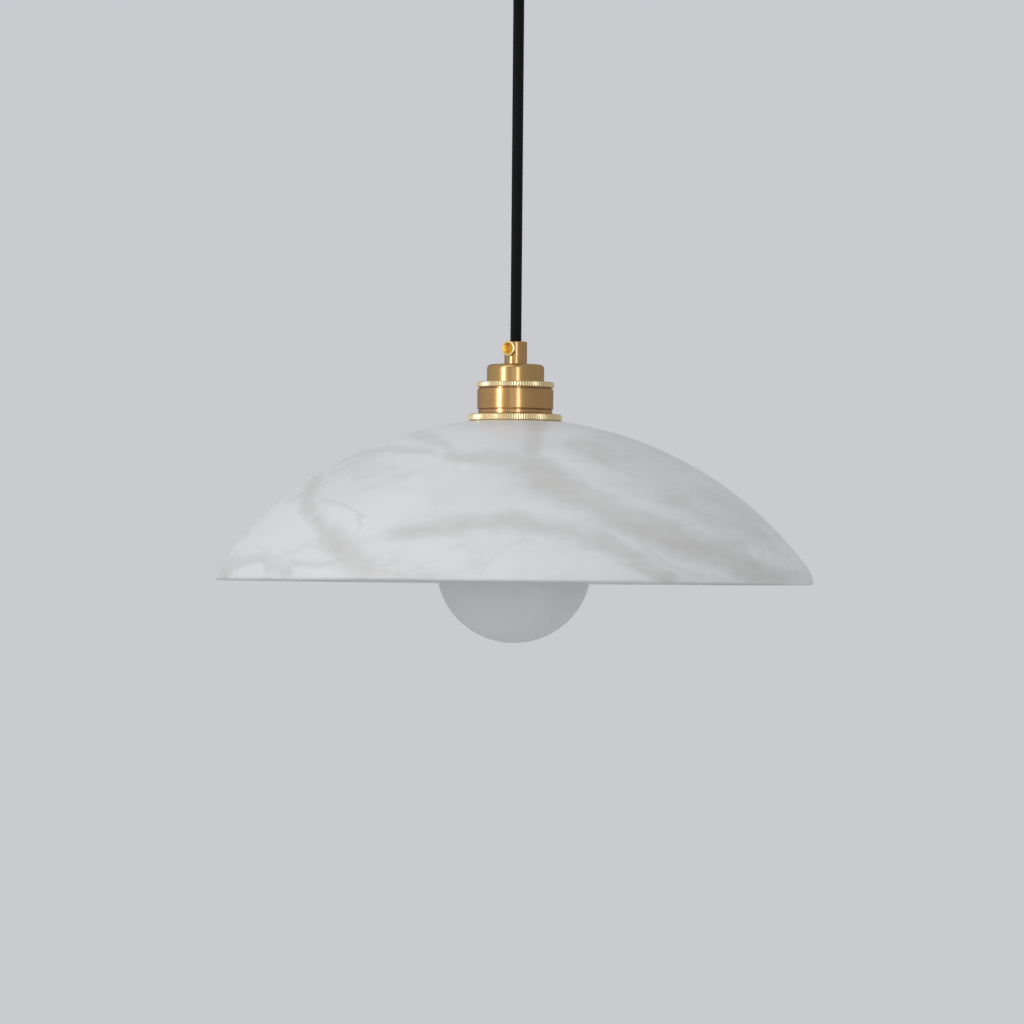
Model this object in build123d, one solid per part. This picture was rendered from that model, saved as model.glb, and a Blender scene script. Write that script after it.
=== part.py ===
from build123d import *

import math
import os

# Alabaster pendant light: ceiling rose, flex, brass lampholder, stone bowl shade and globe bulb.
# Millimetres and degrees. The ceiling is the plane z = 0, +Z is up, and the flex hangs on the Z axis.

# Flex
cord_diameter = 5.7
cord_free_length = 190.0
swing_axis_spacing = 14.0
cord_bore_clearance = 0.35
cord_end_gap = 0.1
cord_tail = 0.5
core_diameter = 2.0
core_bend_radius = 2.2

# Cord grip, the same piece at the rose and at the lamp
grip_diameter = 11.55
grip_length = 11.7
grip_edge_round = 0.4
nipple_diameter = 10.0
nipple_length = 6.0
nipple_end_round = 0.3
nut_across_flats = 14.0
nut_thickness = 3.0
thread_fit = 0.05

# Grip screw
grip_screw_diameter = 4.0
grip_screw_drop = 3.65
grip_screw_direction = 234.4
grip_screw_seat_depth = 0.2
grip_screw_tip_clearance = 0.3
grip_screw_head_diameter = 7.9
grip_screw_head_height = 1.5
grip_screw_head_round = 0.35
grip_screw_dish_diameter = 5.8
grip_screw_dish_depth = 0.35
cross_recess_length = 4.2
cross_recess_width = 0.9
cross_recess_depth = 0.9

# Slots and heads of the small screws
driver_slot_width = 0.7
driver_slot_depth = 0.6
small_head_round = 0.3
screw_tip_clearance = 0.2

# Ceiling rose cup
rose_diameter = 100.0
rose_depth = 32.0
rose_wall = 1.2
rose_corner_radius = 6.0
rose_washer_diameter = 18.0
rose_washer_thickness = 0.8

# Strap bracket of the rose
bracket_width = 20.0
bracket_thickness = 1.5
bracket_tab_height = 14.0
bracket_bend_radius = 1.0
bracket_cup_clearance = 0.5
slot_spacing = 60.0
slot_width = 4.5
slot_length = 9.0
ceiling_recess = 0.3

# Side screws that hold the cup on the bracket
side_screw_diameter = 4.0
side_screw_drop = 8.0
side_screw_hole_clearance = 0.2
side_screw_overrun = 1.5
side_screw_head_diameter = 7.0
side_screw_head_height = 2.4

# Terminal block in the rose
block_length = 24.0
block_width = 16.0
block_height = 12.0
block_edge_round = 0.8
pole_spacing = 12.0
pole_drop = 6.0
clamp_diameter = 5.2
clamp_bore = 2.6
clamp_recess = 1.0
clamp_fit = 0.1
clamp_screw_diameter = 2.6
clamp_screw_spacing = 7.0
clamp_screw_head_diameter = 3.6
clamp_screw_head_height = 1.2
block_screw_diameter = 2.8
block_screw_spacing = 9.0
block_screw_head_diameter = 4.6
block_screw_head_height = 1.4

# Earth post on the bracket
earth_post_offset = 16.5
earth_post_diameter = 5.0
earth_post_height = 8.0
earth_rivet_diameter = 3.0
earth_hole_drop = 4.0

# Routes of the cores in the rose
core_rise = 4.0
earth_core_extra_rise = 3.0
core_side_reach = 17.0
core_insertion = 5.0

# Lampholder cap and its knurled ring
cap_diameter = 29.25
cap_height = 9.0
cap_wall = 1.2
cap_corner_radius = 2.1
cap_flange_thickness = 0.9
cap_ring_diameter = 39.55
cap_ring_height = 2.8
cap_ring_lip = 1.0
cap_knurl_pitch = 1.41
cap_fit = 0.15

# Bulb thread, E27: a round thread of one start
thread_major = 26.4
thread_minor = 24.2
thread_pitch = 3.629
bulb_thread_clearance = 0.3
thread_sections_per_turn = 8

# Screw shell and porcelain insert of the lampholder
shell_wall = 0.4
shell_length = 21.5
neutral_plate_width = 3.3
neutral_plate_thickness = 0.5
shell_clearance = 0.5
insert_wall = 2.4
insert_base = 4.5
insert_fit = 0.15
insert_recess = 2.0
insert_ring_height = 1.5
insert_ring_width = 2.2

# Lampholder body
skirt_wall = 2.0
skirt_drop = 20.0
collar_step = 1.35
collar_wall = 2.0
neck_step = 0.45
neck_height = 0.8
barrel_step = 0.5
barrel_height = 10.2
barrel_edge_round = 0.3
groove_step = 0.3
groove_height = 0.4
bead_height = 1.9
bead_edge_round = 0.25
seat_gap = 0.4

# Contacts and terminals in the lampholder
socket_depth = 7.0
contact_gap = 0.2
contact_room = 2.6
contact_strip_thickness = 0.5
contact_strip_width = 6.0
contact_strip_margin = 0.8
contact_pad_length = 6.0
terminal_offset = 7.5
terminal_length = 5.0
terminal_width = 6.0
terminal_height = 5.0
terminal_leg_diameter = 2.4
terminal_hole_clearance = 0.15
terminal_screw_diameter = 2.4
terminal_screw_head_diameter = 4.2
terminal_screw_head_height = 1.3
neutral_tongue_width = 5.0
earth_tag_diameter = 15.0
earth_tag_thickness = 0.6
earth_lug_width = 4.0
earth_lug_reach = 11.3
earth_lug_drop = 10.0
earth_core_drop = 3.2

# Knurled shade rings and the washer
shade_ring_diameter = 47.7
shade_ring_height = 3.4
shade_knurl_pitch = 1.25
knurl_depth = 0.35
knurl_chamfer = 0.6
knurl_relief = 0.1
shade_washer_diameter = 49.0
shade_washer_thickness = 1.5
shade_washer_clearance = 0.3

# Alabaster shade: a shallow dome whose edge turns down in a tighter arc
shade_diameter = 305.0
shade_dome_radius = 186.5
shade_edge_radius = 14.0
shade_wall = 8.0
shade_seat_diameter = 45.0
shade_hole_clearance = 1.0
shade_inner_seat_margin = 1.5
shade_rim_round = 1.2

# Globe bulb
globe_diameter = 80.0
globe_wall = 1.0
neck_flare_radius = 25.0
bulb_cap_length = 26.8
bulb_thread_length = 17.0
bulb_shell_bore = 22.0
bulb_collar_wall = 1.2
bulb_collar_step = 1.0
bulb_collar_lip = 0.3
bulb_neck_fit = 0.1
bulb_neck_insertion = 4.0
insulator_cone_height = 3.0
insulator_seat = 2.0
insulator_fit = 0.1
insulator_top_diameter = 12.0
tip_diameter = 9.2
tip_height = 1.0
tip_edge_round = 0.5
tip_stem_diameter = 1.6
stem_flare_height = 1.6
stem_diameter = 8.0
stem_length = 36.0
support_width = 1.2
support_collar_wall = 0.8
filament_diameter = 2.2
filament_length = 32.0
filament_circle_diameter = 20.0
filament_count = 4
filament_overlap = 4.0
driver_board_thickness = 1.2
driver_board_drop = 8.0
driver_capacitor_diameter = 6.0
driver_capacitor_height = 7.0
driver_capacitor_offset = 4.5
driver_chip_size = 4.0
driver_chip_height = 1.6

# Heights of the pieces, from the ceiling down
rose_floor = -rose_depth + rose_wall
rose_mouth = -rose_depth - grip_length
rose_cord_top = -rose_depth + nipple_length + cord_tail
lower_swing_axis = rose_mouth - swing_axis_spacing
lamp_mouth = rose_mouth - cord_free_length
cap_top = lamp_mouth - grip_length
cap_ceiling = cap_top - cap_wall
lamp_cord_bottom = cap_top - nipple_length - cord_tail
cap_ring_top = cap_top - cap_height
cap_ring_bottom = cap_ring_top - cap_ring_height
cap_flange_top = cap_ring_top - cap_ring_lip
collar_top = cap_flange_top - cap_flange_thickness
barrel_top = cap_ring_bottom - neck_height
barrel_bottom = barrel_top - barrel_height
bead_top = barrel_bottom - groove_height
bead_bottom = bead_top - bead_height
shade_ring_top = bead_bottom - seat_gap
shade_seat = shade_ring_top - shade_ring_height
skirt_bottom = shade_seat - skirt_drop
bulb_tip_top = shade_seat + socket_depth
insert_base_bottom = bulb_tip_top + contact_room
neutral_plate_bottom = insert_base_bottom - neutral_plate_thickness
insert_top = insert_base_bottom + insert_base
insert_bottom = skirt_bottom + insert_recess
block_top = -bracket_thickness
block_bottom = block_top - block_height
pole_height = block_top - pole_drop
earth_hole_height = block_top - earth_hole_drop
terminal_hole_height = insert_top + terminal_height / 2

# Radii that follow from the fits
cord_radius = cord_diameter / 2
cord_bore = cord_radius + cord_bore_clearance
core_radius = core_diameter / 2
core_circle = core_radius / math.sin(math.radians(60))
grip_radius = grip_diameter / 2
grip_screw_seat = grip_radius - grip_screw_seat_depth
nipple_radius = nipple_diameter / 2
nipple_hole = nipple_radius + thread_fit
rose_radius = rose_diameter / 2
rose_inner = rose_radius - rose_wall
tab_face = math.sqrt((rose_inner - bracket_cup_clearance) ** 2 - (bracket_width / 2) ** 2)
tab_back = tab_face - bracket_thickness
thread_offset = (thread_major - thread_minor) / 4
bulb_thread_mean = (thread_major + thread_minor) / 4
shell_thread_mean = bulb_thread_mean + bulb_thread_clearance
shell_reach = shell_thread_mean + thread_offset + shell_wall
insert_bore = shell_reach + shell_clearance
insert_radius = insert_bore + insert_wall
body_bore = insert_radius + insert_fit
skirt_radius = body_bore + skirt_wall
barrel_radius = skirt_radius + barrel_step
neck_radius = skirt_radius - neck_step
groove_radius = skirt_radius - groove_step
bead_round = min(bead_edge_round, 0.8 * groove_step, 0.8 * neck_step)
collar_radius = skirt_radius - collar_step
collar_bore = collar_radius - collar_wall
cap_radius = cap_diameter / 2
shade_ring_bore = skirt_radius + thread_fit
terminal_hole = core_radius + terminal_hole_clearance


def turned(corners, rounds=0):
    """Solid turned about Z from (radius, height) corners, with a rounding for each corner."""
    outline = FilletPolyline(*corners, radius=rounds, close=True)
    return revolve(Plane.XZ * make_face(outline), Axis.Z)


def turned_curve(*edges):
    """Solid turned about Z from joined lines and arcs in (radius, height)."""
    return revolve(Plane.XZ * make_face(list(edges)), Axis.Z)


def rod(radius, bottom, top):
    """Upright cylinder on the Z axis between two heights."""
    return Pos(0, 0, bottom) * Cylinder(radius, top - bottom, align=(Align.CENTER, Align.CENTER, Align.MIN))


def tube(outer, inner, bottom, top):
    """Upright ring on the Z axis between two heights."""
    return rod(outer, bottom, top) - rod(inner, bottom, top)


def outward(shape, direction, height):
    """Turns a shape that points along +Z so that it points out from the Z axis at a height."""
    return Pos(0, 0, height) * Rot(0, 0, direction) * Rot(0, 90, 0) * shape


def downward(shape):
    """Turns a shape that points along +Z so that it points down."""
    return Rot(180, 0, 0) * shape


def along_y(radius, x, height, start, end):
    """Cylinder along Y at a place in X and Z."""
    blank = Cylinder(radius, end - start, align=(Align.CENTER, Align.CENTER, Align.MIN))
    return Pos(x, start, height) * Rot(-90, 0, 0) * blank


def box_between(low, high):
    """Box between its lowest and highest corner."""
    size = [b - a for a, b in zip(low, high)]
    middle = [(a + b) / 2 for a, b in zip(low, high)]
    return Pos(*middle) * Box(*size)


def screw(diameter, length, head_diameter, head_height):
    """Slotted screw along +Z with the underside of its head at z = 0."""
    radius = head_diameter / 2
    head = turned(
        [(0, 0), (radius, 0), (radius, head_height), (0, head_height)],
        [0, 0, small_head_round, 0],
    )
    slot = Pos(0, 0, head_height) * Box(head_diameter, driver_slot_width, 2 * driver_slot_depth)
    return head - slot + rod(diameter / 2, -length, 0)


def core(*points):
    """Insulated core along straight runs joined by arcs."""
    path = FilletPolyline(*points, radius=core_bend_radius)
    start = Plane(origin=path @ 0, z_dir=path % 0)
    return sweep(start * Circle(core_radius), path=path)


def core_start(turn):
    """Place of a core in the flex, by its angle about the Z axis."""
    return core_circle * math.cos(math.radians(turn)), core_circle * math.sin(math.radians(turn))


def thread_rod(radius, bottom, top):
    """Rod with the round bulb thread: circles off the axis, turned steadily as they rise."""
    steps = math.ceil(thread_sections_per_turn * (top - bottom) / thread_pitch)
    sections = []
    for step in range(steps + 1):
        height = bottom + (top - bottom) * step / steps
        turn = 2 * math.pi * height / thread_pitch
        place = Pos(thread_offset * math.cos(turn), thread_offset * math.sin(turn), height)
        sections.append(place * Circle(radius))
    return loft(sections)


def thread_tube(outer_radius, inner_radius, bottom, top):
    """Tube with the round bulb thread inside and out, sewn from the faces of two threaded rods."""
    outer = thread_rod(outer_radius, bottom, top).faces().sort_by(Axis.Z)
    inner = thread_rod(inner_radius, bottom, top).faces().sort_by(Axis.Z)
    ends = [outer[end].make_holes([inner[end].outer_wire()]) for end in (0, -1)]
    return Solid(Shell(ends + outer[1:-1] + inner[1:-1]))


def knurled_ring(outer_radius, bore_radius, bottom, height, pitch):
    """Ring with upright knurling, chamfered above and below."""
    ridges = round(2 * math.pi * outer_radius / pitch)
    outline = []
    for step in range(2 * ridges):
        reach = outer_radius - knurl_depth * (step % 2)
        turn = math.pi * step / ridges
        outline.append((reach * math.cos(turn), reach * math.sin(turn)))
    toothed = extrude(make_face(Polyline(*outline, close=True)), amount=height)
    chamfer_radius = outer_radius - knurl_chamfer
    crest_radius = outer_radius + knurl_relief
    chamfer_height = crest_radius - chamfer_radius
    blank = turned(
        [
            (bore_radius, 0),
            (chamfer_radius, 0),
            (crest_radius, chamfer_height),
            (crest_radius, height - chamfer_height),
            (chamfer_radius, height),
            (bore_radius, height),
        ]
    )
    return Pos(0, 0, bottom) * (toothed & blank)


def nipple_nut(bottom):
    """Thin hexagon nut for the nipple thread."""
    blank = extrude(RegularPolygon(nut_across_flats / 2, 6, major_radius=False), amount=nut_thickness)
    return Pos(0, 0, bottom) * (blank - rod(nipple_hole, 0, nut_thickness))


def cord_grip(direction):
    """Cord grip with its mouth up at z = 0 and its threaded nipple below."""
    shoulder = -grip_length
    end = shoulder - nipple_length
    body = turned(
        [
            (cord_bore, 0),
            (grip_radius, 0),
            (grip_radius, shoulder),
            (nipple_radius, shoulder),
            (nipple_radius, end),
            (cord_bore, end),
        ],
        [0, grip_edge_round, grip_edge_round, 0, nipple_end_round, 0],
    )
    hole = rod(grip_screw_diameter / 2 + thread_fit, 0, grip_screw_seat)
    spot_face = rod(grip_screw_head_diameter / 2 + thread_fit, grip_screw_seat, grip_diameter)
    return body - outward(hole + spot_face, direction, -grip_screw_drop)


def grip_screw(direction):
    """Grip screw with a dished cross-head, seated on a grip whose mouth is at z = 0."""
    head_radius = grip_screw_head_diameter / 2
    face = grip_screw_seat + grip_screw_head_height
    blank = turned(
        [
            (0, grip_screw_seat),
            (head_radius, grip_screw_seat),
            (head_radius, face),
            (grip_screw_dish_diameter / 2, face),
            (0, face - grip_screw_dish_depth),
        ],
        [0, 0, grip_screw_head_round, 0, 0],
    )
    arm = Pos(0, 0, face) * Box(cross_recess_length, cross_recess_width, 2 * cross_recess_depth)
    shank = rod(grip_screw_diameter / 2, cord_radius + grip_screw_tip_clearance, grip_screw_seat)
    return outward(blank - arm - Rot(0, 0, 90) * arm + shank, direction, -grip_screw_drop)


def at_rose(shape):
    """Places a grip piece at the rose, mouth down."""
    return Pos(0, 0, rose_mouth) * downward(shape)


def at_lamp(shape):
    """Places a grip piece at the lamp, mouth up."""
    return Pos(0, 0, lamp_mouth) * shape


def cord_stretch(pivot, bottom):
    """Stretch of flex whose round top end turns about a pivot."""
    return rod(cord_radius, bottom, pivot) + Pos(0, 0, pivot) * Sphere(cord_radius)


def rose_bracket():
    """Strap with two ceiling slots and a tab bent down at each end."""
    outer_bend = bracket_bend_radius + bracket_thickness
    profile = FilletPolyline(
        (-tab_face, -bracket_tab_height),
        (-tab_face, 0),
        (tab_face, 0),
        (tab_face, -bracket_tab_height),
        (tab_back, -bracket_tab_height),
        (tab_back, block_top),
        (-tab_back, block_top),
        (-tab_back, -bracket_tab_height),
        radius=[0, outer_bend, outer_bend, 0, 0, bracket_bend_radius, bracket_bend_radius, 0],
        close=True,
    )
    strap = extrude(Plane.XZ * make_face(profile), amount=bracket_width / 2, both=True)
    for side in (-1, 1):
        slot = extrude(SlotOverall(slot_length, slot_width), amount=-bracket_thickness)
        strap -= Pos(side * slot_spacing / 2, 0, 0) * slot
        screw_hole = rod(block_screw_diameter / 2 + thread_fit, block_top, 0)
        strap -= Pos(0, side * block_screw_spacing / 2, 0) * screw_hole
    strap -= Pos(earth_post_offset, 0, 0) * rod(earth_rivet_diameter / 2 + thread_fit, block_top, 0)
    side_hole = rod(side_screw_diameter / 2 + thread_fit, -rose_radius, rose_radius)
    return strap - outward(side_hole, 0, -side_screw_drop)


def rose_cup():
    """Spun cup with a hole for the nipple and two side holes."""
    cup = turned(
        [
            (rose_inner, 0),
            (rose_radius, 0),
            (rose_radius, -rose_depth),
            (nipple_hole, -rose_depth),
            (nipple_hole, rose_floor),
            (rose_inner, rose_floor),
        ],
        [0, 0, rose_corner_radius, 0, 0, rose_corner_radius - rose_wall],
    )
    side_hole = rod(side_screw_diameter / 2 + side_screw_hole_clearance, -rose_diameter, rose_diameter)
    return cup - outward(side_hole, 0, -side_screw_drop)


def rose_side_screws():
    """Two screws through the wall of the cup into the tabs of the bracket."""
    length = rose_radius - tab_back + side_screw_overrun
    blank = screw(side_screw_diameter, length, side_screw_head_diameter, side_screw_head_height)
    blank = Pos(0, 0, rose_radius) * blank
    return [outward(blank, direction, -side_screw_drop) for direction in (0, 180)]


def clamp_places():
    """Places of the clamp screws under the terminal block."""
    for pole in (-pole_spacing / 2, pole_spacing / 2):
        for across in (-clamp_screw_spacing / 2, clamp_screw_spacing / 2):
            yield pole, across


def terminal_block():
    """Two-way terminal block under the bracket."""
    half_length = block_length / 2
    half_width = block_width / 2
    block = box_between((-half_length, -half_width, block_bottom), (half_length, half_width, block_top))
    block = fillet(block.edges().filter_by(Axis.Z), block_edge_round)
    for side in (-1, 1):
        pole = side * pole_spacing / 2
        block -= along_y(clamp_diameter / 2 + clamp_fit, pole, pole_height, -half_width, half_width)
        place = Pos(0, side * block_screw_spacing / 2, 0)
        block -= place * rod(block_screw_diameter / 2 + clamp_fit, block_bottom, block_top)
        head_room = block_bottom + block_screw_head_height
        block -= place * rod(block_screw_head_diameter / 2 + clamp_fit, block_bottom, head_room)
    for x, y in clamp_places():
        block -= Pos(x, y, 0) * rod(clamp_screw_head_diameter / 2 + clamp_fit, block_bottom, pole_height)
    return block


def terminal_clamps():
    """Brass tube clamps in the two poles of the terminal block."""
    reach = block_width / 2 - clamp_recess
    clamps = []
    for pole in (-pole_spacing / 2, pole_spacing / 2):
        clamp = along_y(clamp_diameter / 2, pole, pole_height, -reach, reach)
        clamp -= along_y(clamp_bore / 2, pole, pole_height, -reach, reach)
        for x, y in clamp_places():
            if x == pole:
                hole = rod(clamp_screw_diameter / 2 + thread_fit, pole_height - clamp_diameter, pole_height)
                clamp -= Pos(x, y, 0) * hole
        clamps.append(clamp)
    return clamps


def rose_terminal_screws():
    """Clamp screws of the terminal block and of the earth post, driven from below."""
    grip = core_radius + screw_tip_clearance
    seat = pole_height - clamp_diameter / 2
    head = (clamp_screw_head_diameter, clamp_screw_head_height)
    clamp_screw = downward(screw(clamp_screw_diameter, pole_height - seat - grip, *head))
    screws = [Pos(x, y, seat) * clamp_screw for x, y in clamp_places()]
    post_bottom = block_top - earth_post_height
    earth_screw = downward(screw(clamp_screw_diameter, earth_hole_height - post_bottom - grip, *head))
    return screws + [Pos(earth_post_offset, 0, post_bottom) * earth_screw]


def terminal_block_screws():
    """Two screws that hold the terminal block on the bracket."""
    length = block_height - block_screw_head_height + bracket_thickness - ceiling_recess
    blank = downward(screw(block_screw_diameter, length, block_screw_head_diameter, block_screw_head_height))
    seat = block_bottom + block_screw_head_height
    return [Pos(0, side * block_screw_spacing / 2, seat) * blank for side in (-1, 1)]


def earth_post():
    """Pillar riveted to the bracket, with a cross hole for the earth core."""
    bottom = block_top - earth_post_height
    post = rod(earth_post_diameter / 2, bottom, block_top)
    post += rod(earth_rivet_diameter / 2, block_top, -ceiling_recess)
    post -= rod(clamp_screw_diameter / 2 + thread_fit, bottom, earth_hole_height)
    post = Pos(earth_post_offset, 0, 0) * post
    return post - along_y(terminal_hole, earth_post_offset, earth_hole_height, -bracket_width, bracket_width)


def rose_core(turn, rise, place, height, end):
    """Core from the flex up the side of the rose and into its terminal."""
    x, y = core_start(turn)
    level = rose_cord_top + rise
    return core(
        (x, y, rose_cord_top),
        (x, y, level),
        (place, -core_side_reach, level),
        (place, -core_side_reach, height),
        (place, end, height),
    )


def holder_cap():
    """Drawn cap with a flange that the knurled ring holds."""
    inner = cap_radius - cap_wall
    flange = collar_radius - cap_fit
    return turned(
        [
            (nipple_hole, cap_top),
            (cap_radius, cap_top),
            (cap_radius, cap_flange_top),
            (flange, cap_flange_top),
            (flange, collar_top),
            (inner, collar_top),
            (inner, cap_ceiling),
            (nipple_hole, cap_ceiling),
        ],
        [0, cap_corner_radius, 0, 0, 0, 0, cap_corner_radius - cap_wall, 0],
    )


def cap_ring():
    """Knurled ring that screws on the collar of the body and holds the cap."""
    bore = cap_radius + cap_fit
    ring = knurled_ring(cap_ring_diameter / 2, bore, cap_ring_bottom, cap_ring_height, cap_knurl_pitch)
    return ring - rod(collar_radius + thread_fit, cap_ring_bottom, cap_flange_top)


def holder_body():
    """Turned body: collar, neck, smooth barrel, groove, bead and the threaded skirt below."""
    corners_and_rounds = [
        (collar_bore, collar_top, 0),
        (collar_radius, collar_top, 0),
        (collar_radius, cap_ring_bottom, 0),
        (neck_radius, cap_ring_bottom, 0),
        (neck_radius, barrel_top, 0),
        (barrel_radius, barrel_top, barrel_edge_round),
        (barrel_radius, barrel_bottom, barrel_edge_round),
        (groove_radius, barrel_bottom, 0),
        (groove_radius, bead_top, 0),
        (skirt_radius, bead_top, bead_round),
        (skirt_radius, bead_bottom, bead_round),
        (neck_radius, bead_bottom, 0),
        (neck_radius, shade_ring_top, 0),
        (skirt_radius, shade_ring_top, 0),
        (skirt_radius, skirt_bottom, barrel_edge_round),
        (body_bore, skirt_bottom, barrel_edge_round),
        (body_bore, insert_top, 0),
        (collar_bore, insert_top, 0),
    ]
    corners = [(radius, height) for radius, height, rounding in corners_and_rounds]
    return turned(corners, [rounding for radius, height, rounding in corners_and_rounds])


def socket_insert():
    """Porcelain insert: a cup, mouth down, with holes for the terminal legs in its base."""
    insert = rod(insert_radius, insert_bottom, insert_top)
    insert -= rod(insert_bore, insert_bottom, insert_base_bottom)
    for side in (-1, 1):
        leg_hole = rod(terminal_leg_diameter / 2 + thread_fit, insert_base_bottom, insert_top)
        insert -= Pos(side * terminal_offset, 0, 0) * leg_hole
    return insert


def screw_shell():
    """Thin threaded shell that takes the bulb."""
    bottom = insert_base_bottom - shell_length
    return thread_tube(shell_thread_mean + shell_wall, shell_thread_mean, bottom, neutral_plate_bottom)


def neutral_plate():
    """Ring on top of the screw shell, with a tongue under the neutral terminal."""
    bore = shell_reach - neutral_plate_width
    half_width = neutral_tongue_width / 2
    tongue_tip = terminal_offset - terminal_leg_diameter / 2 - contact_strip_margin
    plate = rod(shell_reach, neutral_plate_bottom, insert_base_bottom)
    plate -= rod(bore, neutral_plate_bottom, insert_base_bottom)
    return plate + box_between(
        (-bore - neutral_plate_width / 2, -half_width, neutral_plate_bottom),
        (-tongue_tip, half_width, insert_base_bottom),
    )


def centre_contact():
    """Sprung strip from the live terminal down to the tip of the bulb."""
    margin = terminal_leg_diameter / 2 + contact_strip_margin
    outer = terminal_offset + margin
    bend = terminal_offset - margin
    pad = contact_pad_length / 2
    low = bulb_tip_top + contact_gap
    thickness = contact_strip_thickness
    profile = Polyline(
        (outer, insert_base_bottom),
        (bend, insert_base_bottom),
        (pad, low + thickness),
        (-pad, low + thickness),
        (-pad, low),
        (pad, low),
        (bend, insert_base_bottom - thickness),
        (outer, insert_base_bottom - thickness),
        close=True,
    )
    return extrude(Plane.XZ * make_face(profile), amount=contact_strip_width / 2, both=True)


def lamp_terminal(side):
    """Terminal block on the insert, with its leg through the base."""
    core_y = core_start(30)[1]
    half_length = terminal_length / 2
    half_width = terminal_width / 2
    block_high = insert_top + terminal_height
    block = box_between((-half_length, -half_width, insert_top), (half_length, half_width, block_high))
    block += rod(terminal_leg_diameter / 2, insert_base_bottom, insert_top)
    core_hole = outward(rod(terminal_hole, -terminal_length, terminal_length), 0, terminal_hole_height)
    screw_hole = rod(terminal_screw_diameter / 2 + thread_fit, terminal_hole_height, block_high)
    block -= Pos(0, core_y, 0) * (core_hole + screw_hole)
    return Pos(side * terminal_offset, 0, 0) * block


def lamp_terminal_screws():
    """One screw on each lampholder terminal."""
    length = terminal_height / 2 - core_radius - screw_tip_clearance
    blank = screw(
        terminal_screw_diameter, length, terminal_screw_head_diameter, terminal_screw_head_height
    )
    core_y = core_start(30)[1]
    seat = insert_top + terminal_height
    return [Pos(side * terminal_offset, core_y, seat) * blank for side in (-1, 1)]


def lamp_core(turn, side):
    """Core from the flex down and out into a lampholder terminal."""
    x, y = core_start(turn)
    end = side * (terminal_offset + core_radius)
    return core((x, y, lamp_cord_bottom), (x, y, terminal_hole_height), (end, y, terminal_hole_height))


def lamp_core_earth():
    """Earth core from the flex to the lug of the earth tag."""
    x, y = core_start(270)
    level = lamp_cord_bottom - earth_core_drop
    lug_face = -earth_lug_reach + earth_tag_thickness
    return core((x, y, lamp_cord_bottom), (x, y, level), (x, lug_face, level))


def earth_tag():
    """Ring under the cap with a lug bent down beside the flex."""
    low = cap_ceiling - earth_tag_thickness
    half_width = earth_lug_width / 2
    tag = rod(earth_tag_diameter / 2, low, cap_ceiling)
    tag += box_between((-half_width, -earth_lug_reach, low), (half_width, 0, cap_ceiling))
    tag += box_between(
        (-half_width, -earth_lug_reach, cap_ceiling - earth_lug_drop),
        (half_width, -earth_lug_reach + earth_tag_thickness, cap_ceiling),
    )
    return tag - rod(nipple_hole, low, cap_ceiling)


# Outline of the shade, by the centres of its two arcs
rim_radius = shade_diameter / 2
edge_centre_radius = rim_radius - shade_edge_radius
dome_centre_drop = math.sqrt((shade_dome_radius - shade_edge_radius) ** 2 - edge_centre_radius**2)
shade_seat_radius = shade_seat_diameter / 2
seat_rise = math.sqrt(shade_dome_radius**2 - shade_seat_radius**2) - dome_centre_drop
shade_rim = shade_seat - seat_rise
edge_turn = math.degrees(math.atan2(dome_centre_drop, edge_centre_radius))
inner_dome_radius = shade_dome_radius - shade_wall
inner_seat_radius = shade_washer_diameter / 2 + shade_inner_seat_margin
inner_seat_rise = math.sqrt(inner_dome_radius**2 - inner_seat_radius**2) - dome_centre_drop
shade_inner_seat = shade_rim + inner_seat_rise
shade_hole = skirt_radius + shade_hole_clearance


def shade():
    """Stone bowl, mouth down: an even wall with flat seats round the hole at the top."""
    dome_centre = (0, shade_rim - dome_centre_drop)
    edge_centre = (edge_centre_radius, shade_rim)
    inner_edge = shade_edge_radius - shade_wall
    outer_start = math.degrees(math.acos(shade_seat_radius / shade_dome_radius))
    inner_start = math.degrees(math.acos(inner_seat_radius / inner_dome_radius))
    bowl = turned_curve(
        Line((shade_hole, shade_seat), (shade_seat_radius, shade_seat)),
        CenterArc(dome_centre, shade_dome_radius, edge_turn, outer_start - edge_turn),
        CenterArc(edge_centre, shade_edge_radius, 0, edge_turn),
        Line((rim_radius, shade_rim), (rim_radius - shade_wall, shade_rim)),
        CenterArc(edge_centre, inner_edge, 0, edge_turn),
        CenterArc(dome_centre, inner_dome_radius, edge_turn, inner_start - edge_turn),
        Line((inner_seat_radius, shade_inner_seat), (shade_hole, shade_inner_seat)),
        Line((shade_hole, shade_inner_seat), (shade_hole, shade_seat)),
    )
    return fillet(bowl.edges().group_by(Axis.Z)[0], shade_rim_round)


# Heights and radii of the bulb, from its tip down
insulator_top = bulb_tip_top - tip_height
bulb_thread_top = insulator_top - insulator_cone_height
insulator_bottom = bulb_thread_top - insulator_seat
bulb_thread_bottom = bulb_thread_top - bulb_thread_length
bulb_cap_bottom = bulb_tip_top - bulb_cap_length
bulb_bore_radius = bulb_shell_bore / 2
bulb_collar_radius = thread_major / 2 + bulb_collar_lip
bulb_collar_inner = bulb_collar_radius - bulb_collar_wall
bulb_neck_radius = bulb_collar_inner - bulb_neck_fit
bulb_neck_top = bulb_cap_bottom + bulb_neck_insertion
globe_radius = globe_diameter / 2
flare_centre_radius = bulb_neck_radius + neck_flare_radius
flare_drop = math.sqrt((globe_radius + neck_flare_radius) ** 2 - flare_centre_radius**2)
globe_centre = bulb_cap_bottom - flare_drop
stem_end = bulb_neck_top - stem_length
filament_top = stem_end + filament_overlap
filament_bottom = filament_top - filament_length
driver_board_top = bulb_thread_top - driver_board_drop


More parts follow.
